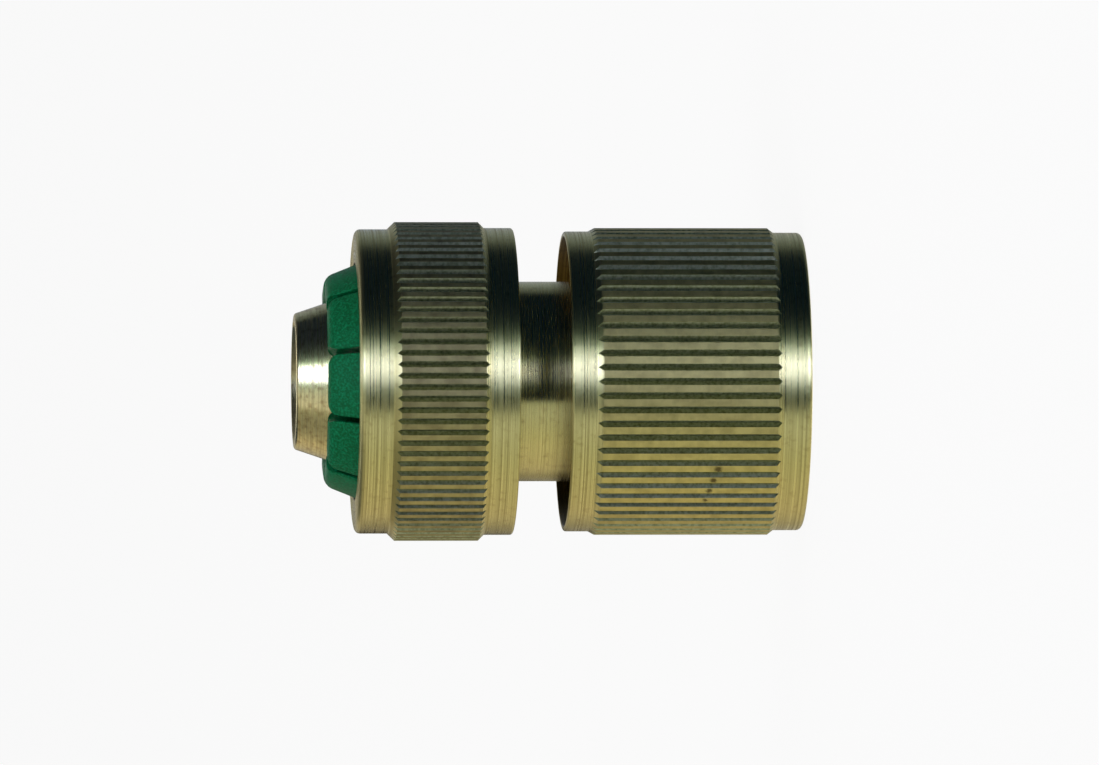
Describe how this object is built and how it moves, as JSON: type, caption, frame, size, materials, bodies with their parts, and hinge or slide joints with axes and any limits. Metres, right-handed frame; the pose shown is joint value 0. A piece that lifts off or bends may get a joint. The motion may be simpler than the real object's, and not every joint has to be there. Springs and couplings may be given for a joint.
{
  "type": "hose quick connector",
  "caption": "Turned brass hose coupling: a knurled nut closes grip fingers on the hose, and a knurled spring sleeve locks steel balls round a plug.",
  "frame": {"origin": "centre of the sleeve's mouth face, on which the connector stands", "axes": "+Z along the connector's axis, from the plug socket to the hose tail; +X through locking_ball_1"},
  "size_m": [0.03, 0.03, 0.0478],
  "materials": {
    "brass": "turned and polished",
    "green_plastic": "moulded, satin",
    "spring_steel": "drawn wire",
    "ball_steel": "ground and polished"
  },
  "bodies": {
    "root": {"body": "brass", "release_spring": "spring_steel", "retaining_ring": "spring_steel"},
    "sleeve": {"release_sleeve": "brass"},
    "finger_ring": {"grip_fingers": "green_plastic"},
    "nut": {"clamp_nut": "brass"},
    "ball_1": {"locking_ball_1": "ball_steel"},
    "ball_2": {"locking_ball_2": "ball_steel"},
    "ball_3": {"locking_ball_3": "ball_steel"},
    "ball_4": {"locking_ball_4": "ball_steel"},
    "ball_5": {"locking_ball_5": "ball_steel"},
    "ball_6": {"locking_ball_6": "ball_steel"}
  },
  "joints": [
    {"name": "sleeve_slide", "type": "slide", "parent": "root", "child": "sleeve", "axis": [0, 0, 1], "range_m": [0, 0.004], "stiffness_N_per_m": 500, "springref_m": -0.005, "deforming": ["release_spring"]},
    {"name": "finger_ring_slide", "type": "slide", "parent": "root", "child": "finger_ring", "axis": [0, 0, 1], "range_m": [0, 0.006]},
    {"name": "nut_turn", "type": "hinge", "parent": "finger_ring", "child": "nut", "pos_m": [0, 0, 0.0346], "axis": [0, 0, 1], "range_deg": [0, 1440]},
    {"name": "ball_1_slide", "type": "slide", "parent": "root", "child": "ball_1", "axis": [1, 0, 0], "range_m": [0, 0.00096]},
    {"name": "ball_2_slide", "type": "slide", "parent": "root", "child": "ball_2", "axis": [0.5, 0.866, 0], "range_m": [0, 0.00096]},
    {"name": "ball_3_slide", "type": "slide", "parent": "root", "child": "ball_3", "axis": [-0.5, 0.866, 0], "range_m": [0, 0.00096]},
    {"name": "ball_4_slide", "type": "slide", "parent": "root", "child": "ball_4", "axis": [-1, 0, 0], "range_m": [0, 0.00096]},
    {"name": "ball_5_slide", "type": "slide", "parent": "root", "child": "ball_5", "axis": [-0.5, -0.866, 0], "range_m": [0, 0.00096]},
    {"name": "ball_6_slide", "type": "slide", "parent": "root", "child": "ball_6", "axis": [0.5, -0.866, 0], "range_m": [0, 0.00096]}
  ],
  "couplings": [
    {"joint": "finger_ring_slide", "follows": "nut_turn", "m_per_rad": 0.0002387},
    {"joint": "ball_1_slide", "follows": "sleeve_slide", "ratio": 0.2375},
    {"joint": "ball_2_slide", "follows": "sleeve_slide", "ratio": 0.2375},
    {"joint": "ball_3_slide", "follows": "sleeve_slide", "ratio": 0.2375},
    {"joint": "ball_4_slide", "follows": "sleeve_slide", "ratio": 0.2375},
    {"joint": "ball_5_slide", "follows": "sleeve_slide", "ratio": 0.2375},
    {"joint": "ball_6_slide", "follows": "sleeve_slide", "ratio": 0.2375}
  ]
}
